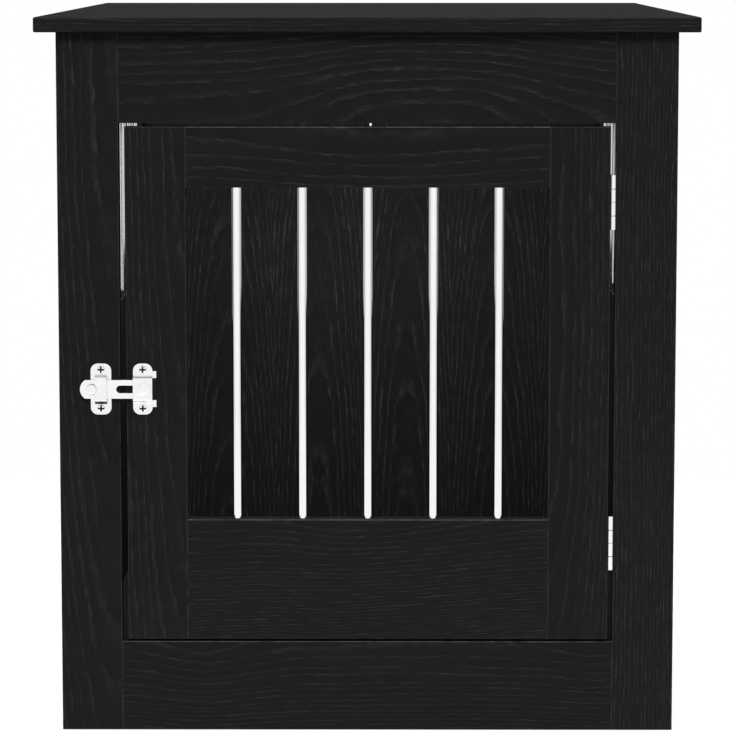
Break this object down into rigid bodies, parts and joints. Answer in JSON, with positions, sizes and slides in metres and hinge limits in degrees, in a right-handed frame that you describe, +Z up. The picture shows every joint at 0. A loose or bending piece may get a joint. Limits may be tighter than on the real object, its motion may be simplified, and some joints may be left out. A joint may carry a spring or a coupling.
{
  "type": "dog crate end table",
  "caption": "Board-built dog crate cabinet under an overhanging table top, with a hinged rod-barred door, rod-barred side windows and a flat slide-bolt latch.",
  "frame": {"origin": "on the floor, under the middle of the table top", "axes": "+Z up; the barred door faces -Y; +X is to the right of someone who faces the door"},
  "size_m": [0.55, 0.75, 0.6],
  "materials": {
    "black_oak_board": "matt black laminate with an embossed oak grain",
    "chrome_rod": "polished plated steel rod",
    "bright_plated_metal": "pressed sheet with a bright, near-white satin plating",
    "steel_pin": "plain drawn steel"
  },
  "bodies": {
    "cabinet": {"top_panel": "black_oak_board", "front_left_stile": "black_oak_board", "front_right_stile": "black_oak_board", "front_top_rail": "black_oak_board", "front_bottom_rail": "black_oak_board", "left_side_front_stile": "black_oak_board", "left_side_rear_stile": "black_oak_board", "left_side_top_rail": "black_oak_board", "left_side_lower_panel": "black_oak_board", "right_side_front_stile": "black_oak_board", "right_side_rear_stile": "black_oak_board", "right_side_top_rail": "black_oak_board", "right_side_lower_panel": "black_oak_board", "back_left_board": "black_oak_board", "back_right_board": "black_oak_board", "floor_panel": "black_oak_board", "left_side_rod_1": "chrome_rod", "left_side_rod_2": "chrome_rod", "left_side_rod_3": "chrome_rod", "left_side_rod_4": "chrome_rod", "left_side_rod_5": "chrome_rod", "left_side_rod_6": "chrome_rod", "left_side_rod_7": "chrome_rod", "left_side_rod_8": "chrome_rod", "left_side_rod_9": "chrome_rod", "left_side_rod_10": "chrome_rod", "right_side_rod_1": "chrome_rod", "right_side_rod_2": "chrome_rod", "right_side_rod_3": "chrome_rod", "right_side_rod_4": "chrome_rod", "right_side_rod_5": "chrome_rod", "right_side_rod_6": "chrome_rod", "right_side_rod_7": "chrome_rod", "right_side_rod_8": "chrome_rod", "right_side_rod_9": "chrome_rod", "right_side_rod_10": "chrome_rod", "upper_hinge_frame_leaf": "bright_plated_metal", "upper_hinge_pin": "steel_pin", "lower_hinge_frame_leaf": "bright_plated_metal", "lower_hinge_pin": "steel_pin", "latch_guide": "bright_plated_metal", "guide_upper_screw": "bright_plated_metal", "guide_lower_screw": "bright_plated_metal"},
    "door": {"door_latch_stile": "black_oak_board", "door_hinge_stile": "black_oak_board", "door_top_rail": "black_oak_board", "door_bottom_rail": "black_oak_board", "door_rod_1": "chrome_rod", "door_rod_2": "chrome_rod", "door_rod_3": "chrome_rod", "door_rod_4": "chrome_rod", "door_rod_5": "chrome_rod", "upper_hinge_door_leaf": "bright_plated_metal", "lower_hinge_door_leaf": "bright_plated_metal", "latch_keeper": "bright_plated_metal", "keeper_upper_screw": "bright_plated_metal", "keeper_lower_screw": "bright_plated_metal"},
    "bolt": {"latch_bolt": "bright_plated_metal", "latch_knob": "bright_plated_metal"}
  },
  "joints": [
    {"name": "door_swing", "type": "hinge", "parent": "cabinet", "child": "door", "pos_m": [0.20425, -0.3662, 0.30375], "axis": [0, 0, 1], "range_deg": [0, 170]},
    {"name": "bolt_slide", "type": "slide", "parent": "cabinet", "child": "bolt", "axis": [-1, 0, 0], "range_m": [0, 0.016]}
  ]
}
